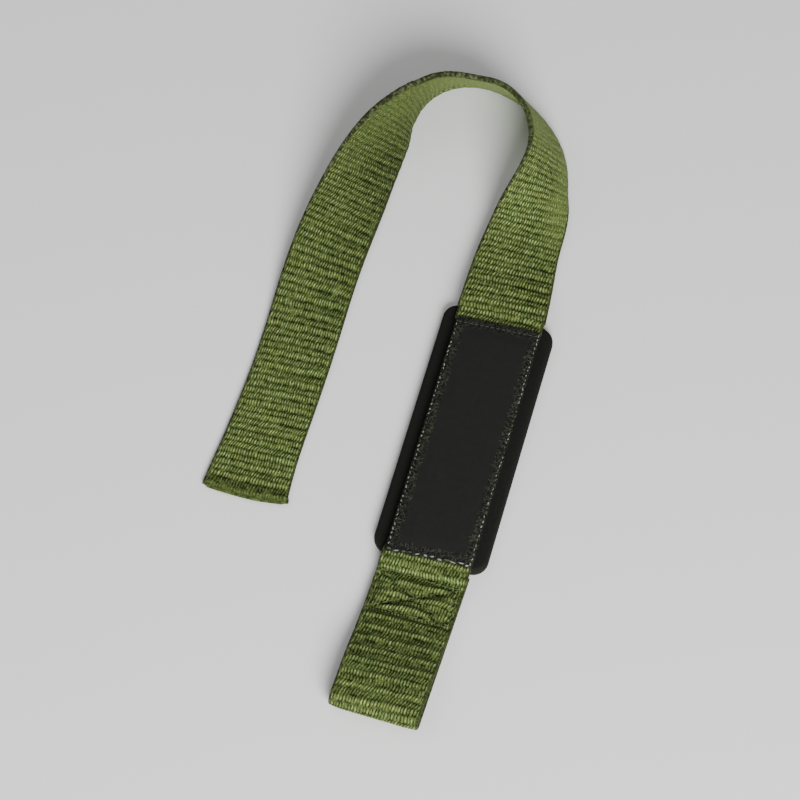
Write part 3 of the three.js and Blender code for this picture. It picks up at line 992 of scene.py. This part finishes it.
class STRAP_OT_patch(bpy.types.Operator):
    """Lay the cover patch over the webbing"""

    bl_idname = "strap.patch"
    bl_label = "Cover patch"

    def execute(self, context):
        columns, rows = int(PATCH_WIDTH / PATCH_MESH[0]), int(PATCH_LENGTH / PATCH_MESH[1])
        mesh, i, j = flat_grid("cover_patch_skin", columns, rows)
        x = (i / i.max() - 0.5) * PATCH_WIDTH
        y = (j / j.max() - 0.5) * PATCH_LENGTH
        side = PATCH_WIDTH / 2 - np.abs(x)
        end = PATCH_LENGTH / 2 - np.abs(y)
        rim = np.maximum(1 - smooth(2.8, 4.6 + 1.2 * (x < 0), side), 1 - smooth(2.6, 5.0, end))
        side_waves = PATCH_SIDE_WAVES * ripple(y / PATCH_WAVE, y / 3, seed=5)
        x = x + np.where(side < 0.01, np.sign(x) * side_waves, 0)
        end_waves = PATCH_END_WAVES * ripple(x / PATCH_WAVE, x / 3, seed=6)
        y = y + np.where(end < 0.01, np.sign(y) * end_waves, 0)
        mesh.vertices.foreach_set("co", patch_place(x, y).ravel())
        mesh.attributes.new("rim", "FLOAT", "POINT").data.foreach_set("value", rim)
        bm = bmesh.new()
        bm.from_mesh(mesh)
        bmesh.ops.recalc_face_normals(bm, faces=bm.faces)
        if bm.faces[:][0].normal.z < 0:
            bmesh.ops.reverse_faces(bm, faces=bm.faces)
        bmesh.ops.solidify(bm, geom=bm.faces[:], thickness=PATCH_SKIN * MM)
        bmesh.ops.recalc_face_normals(bm, faces=bm.faces)
        piece = finish_piece("cover_patch_skin", bm, mesh)
        paint(piece, patch_material(context.scene.strap_colours))
        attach(piece, "root")
        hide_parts("cover_patch")
        return {"FINISHED"}


def add_stitch(bm, centre, along, out, length, thick):
    """A short raised stitch lying along a line, in metres."""
    along = Vector(along).normalized()
    out = Vector(out).normalized()
    across = along.cross(out).normalized()
    turn = Matrix((across, along, out)).transposed().to_4x4()
    size = Matrix.Diagonal((thick / 2 * MM, length / 2 * MM, thick / 2 * MM, 1))
    place = Matrix.Translation(Vector(centre)) @ turn @ size
    bmesh.ops.create_uvsphere(bm, u_segments=7, v_segments=5, radius=1, matrix=place)


class PatchSewing:
    """The threads on the patch, one bmesh for each kind, laid by chance in a fixed order."""

    def __init__(self, pitch):
        self.pitch = pitch
        self.half_width, self.half_length = PATCH_WIDTH / 2, PATCH_LENGTH / 2
        self.chance = np.random.default_rng(seed=11)
        self.pale, self.dark, self.olive, self.black = (bmesh.new() for _ in range(4))
        for side in (-1, 1):
            self.side_row(side)
            self.side_darning(side)
        self.lower_row()
        self.lower_darning()
        self.upper_row()
        self.fray_and_shadow_line()

    def put(self, threads, x, y, along, length, thick, lift):
        """Lays one thread. A length or thickness given as a range is drawn from it."""
        if isinstance(length, tuple):
            length = self.chance.uniform(*length)
        if isinstance(thick, tuple):
            thick = self.chance.uniform(*thick)
        place = Vector(patch_place(np.array(float(x)), np.array(float(y))))
        add_stitch(threads, place + Vector((0, 0, lift * MM)), along, (0, 0, 1), length, thick)

    def side_row(self, side):
        """The long row of pale stitches down one side."""
        chance, run = self.chance, 2 * (self.half_length - SIDE_ROW_END)
        lengths, thicks, lift = SIDE_STITCH
        count = int(run / self.pitch)
        for i in range(count + 1):
            y = (i / count - 0.5) * run + chance.uniform(-0.25, 0.25)
            x = side * (self.half_width - ROW_IN + chance.uniform(-0.22, 0.22))
            tilt = chance.uniform(-0.5, 0.5)
            length, thick = chance.uniform(*lengths), chance.uniform(*thicks)
            threads = self.pale if chance.random() < 0.7 else self.olive
            self.put(threads, x, y, (tilt, 1, 0), length, thick, lift)

    def side_darning(self, side):
        """The dark zigzag just inside a side row."""
        chance = self.chance
        for _ in range(int(self.half_length * SIDE_DARNING)):
            y = chance.uniform(-self.half_length + 1, self.half_length - 3)
            x = side * (self.half_width - ROW_IN - chance.uniform(0.2, 3.4))
            lean = (side * chance.uniform(0.4, 1.0), chance.uniform(-0.9, 0.9), 0)
            threads = self.olive if chance.random() < 0.45 else self.dark
            self.put(threads, x, y, lean, *SIDE_DARN)

    def lower_row(self):
        """The coarse row at the loop's end, paler to the right."""
        chance, run = self.chance, 2 * self.half_width - 2 * END_ROW_END
        for i in range(LOWER_ROW):
            share = i / (LOWER_ROW - 1)
            x = (share - 0.5) * run + chance.uniform(-0.4, 0.4)
            y = -self.half_length + chance.uniform(-0.1, 0.8)
            threads = self.pale if chance.random() < 0.35 + 0.5 * share else self.olive
            self.put(threads, x, y, (1, 0.05 + chance.uniform(-0.35, 0.35), 0), *LOWER_STITCH)

    def lower_darning(self):
        """The dark zigzag above the lower row."""
        chance = self.chance
        for _ in range(LOWER_DARNING):
            x = chance.uniform(-1, 1) * (self.half_width - 1.2)
            y = -self.half_length + chance.uniform(1.0, 4.6)
            lean = (chance.uniform(-0.8, 0.8), 1, 0)
            threads = self.olive if chance.random() < 0.3 else self.dark
            self.put(threads, x, y, lean, *LOWER_DARN)

    def upper_row(self):
        """The dark row at the tail's end."""
        run = 2 * self.half_width - 2 * END_ROW_END
        for i in range(UPPER_ROW):
            x = (i / (UPPER_ROW - 1) - 0.5) * run
            lean = (1, self.chance.uniform(-0.1, 0.1), 0)
            self.put(self.dark, x, self.half_length - END_ROW_IN, lean, *UPPER_STITCH)

    def fray_and_shadow_line(self):
        """Black threads along both cut ends, at the top and the bottom by turns: fray that also stands in
        as a painted shadow line where the patch meets the webbing.
        """
        chance = self.chance
        for i in range(FRAY_AND_SHADOW_THREADS):
            x = chance.uniform(-1, 1) * (self.half_width - 0.6)
            if i % 2 == 0:
                y = self.half_length + chance.uniform(-1.1, 0.6)
            else:
                y = -self.half_length + chance.uniform(-0.7, 3.6)
            self.put(self.black, x, y, (chance.uniform(-1, 1), 1, 0), *FRAY)


class STRAP_OT_stitches(bpy.types.Operator):
    """Sew the patch's rims and the crossed box"""

    bl_idname = "strap.stitches"
    bl_label = "Stitching"

    def execute(self, context):
        sizes = context.scene.strap_sizes
        self.sew_patch(sizes, context.scene.strap_colours)
        self.sew_box(sizes)
        return {"FINISHED"}

    def sew_patch(self, sizes, colours):
        sewing = PatchSewing(sizes.stitch_pitch)
        rows = (
            ("patch_stitches", sewing.pale, "pale_thread", colours.thread),
            ("patch_dark_stitches", sewing.dark, "dark_thread", DARK_THREAD),
            # Black fray, which also stands in for the shadow where the patch meets the webbing
            ("patch_fray_and_shadow", sewing.black, "black_fray_shadow_thread", BLACK_FRAY_SHADOW_THREAD),
            ("patch_olive_stitches", sewing.olive, "moss_thread", MOSS_THREAD),
        )
        for name, bm, thread, colour in rows:
            piece = finish_piece(name, bm)
            paint(piece, thread_material(thread, colour))
            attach(piece, "root")

    def sew_box(self, sizes):
        path = StrapPath(sizes)
        chance = np.random.default_rng(seed=5)
        lengths, thicks = BOX_STITCH
        bm = bmesh.new()
        for line in box_lines():
            a, b = Vector(line[0]), Vector(line[1])
            count = max(2, round((b - a).length / BOX_STITCH_PITCH))
            for i in range(count):
                point = a.lerp(b, (i + 0.5) / count)
                point.x += chance.uniform(-0.25, 0.25)
                point.y += chance.uniform(-0.3, 0.3)
                centre, across, out, _ = path.at(np.array([path.pad_start - point.y]))
                along = np.cross(out, across)
                place = centre + across * point.x + out * (sizes.web_thick / 2 - BOX_STITCH_SUNK)
                way = (b - a).normalized()
                way.rotate(Matrix.Rotation(chance.uniform(-0.25, 0.25), 2))
                direction = across[0] * way.x - along[0] * way.y
                length, thick = chance.uniform(*lengths), chance.uniform(*thicks)
                add_stitch(bm, to_world(place)[0], direction, out[0], length, thick)
        piece = finish_piece("box_stitches", bm)
        paint(piece, thread_material("olive_thread", BOX_THREAD))
        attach(piece, "root")


class STRAP_OT_stage(bpy.types.Operator):
    """Set the floor, the soft lights and the camera"""

    bl_idname = "strap.stage"
    bl_label = "Stage"

    def execute(self, context):
        scene = context.scene
        bm = bmesh.new()
        bmesh.ops.create_grid(bm, x_segments=1, y_segments=1, size=FLOOR_HALF)
        floor = finish_piece("floor", bm)
        material, _tree, shader, _place = new_material("pale_floor", 0.9, 0.1)
        shader.inputs["Base Color"].default_value = FLOOR_GREY
        paint(floor, material)
        for light in LIGHTS:
            self.light(scene, *light)
        world = bpy.data.worlds.new("studio")
        world.use_nodes = True
        sky = world.node_tree.nodes["Background"]
        sky.inputs["Color"].default_value = (1, 1, 1, 1)
        sky.inputs["Strength"].default_value = SKY_STRENGTH
        scene.world = world
        self.camera(scene)
        return {"FINISHED"}

    def light(self, scene, name, place, size, power):
        lamp = bpy.data.lights.new(name, "AREA")
        lamp.shape = "DISK"
        lamp.size = size
        lamp.energy = power
        holder = bpy.data.objects.new(name, lamp)
        holder.location = place
        holder.rotation_euler = (-Vector(place)).to_track_quat("-Z", "Y").to_euler()
        scene.collection.objects.link(holder)

    def camera(self, scene):
        data = bpy.data.cameras.new("camera")
        data.lens = CAMERA_LENS
        data.sensor_width = 36
        data.clip_start = 0.05
        back = Vector(
            (
                math.sin(CAMERA_AZIMUTH) * math.cos(CAMERA_ELEVATION),
                -math.cos(CAMERA_AZIMUTH) * math.cos(CAMERA_ELEVATION),
                math.sin(CAMERA_ELEVATION),
            )
        )
        holder = bpy.data.objects.new("camera", data)
        aim = CAMERA_AIM + Vector((PAD_MIDDLE.x, PAD_MIDDLE.y, 0))
        holder.location = aim + back * CAMERA_DISTANCE
        holder.rotation_euler = (-back).to_track_quat("-Z", "Y").to_euler()
        scene.collection.objects.link(holder)
        scene.camera = holder


class STRAP_PT_panel(bpy.types.Panel):
    """Sidebar panel with the strap's steps and sizes"""

    bl_idname = "STRAP_PT_panel"
    bl_label = "Strap"
    bl_space_type = "VIEW_3D"
    bl_region_type = "UI"
    bl_category = "Strap"

    def draw(self, context):
        for step in STEPS:
            self.layout.operator(step.bl_idname)
        for group in (context.scene.strap_sizes, context.scene.strap_colours):
            for key in group.bl_rna.properties.keys()[2:]:
                self.layout.prop(group, key)


STEPS = (STRAP_OT_webbing, STRAP_OT_pad, STRAP_OT_patch, STRAP_OT_stitches, STRAP_OT_stage)
CLASSES = (StrapSizes, StrapColours, *STEPS, STRAP_PT_panel)


def register():
    for item in CLASSES:
        bpy.utils.register_class(item)
    bpy.types.Scene.strap_sizes = PointerProperty(type=StrapSizes)
    bpy.types.Scene.strap_colours = PointerProperty(type=StrapColours)


def unregister():
    del bpy.types.Scene.strap_colours
    del bpy.types.Scene.strap_sizes
    for item in reversed(CLASSES):
        bpy.utils.unregister_class(item)


def main():
    register()
    bpy.ops.strap.webbing()
    bpy.ops.strap.pad()
    bpy.ops.strap.patch()
    bpy.ops.strap.stitches()
    bpy.ops.strap.stage()


if __name__ == "__main__":
    main()
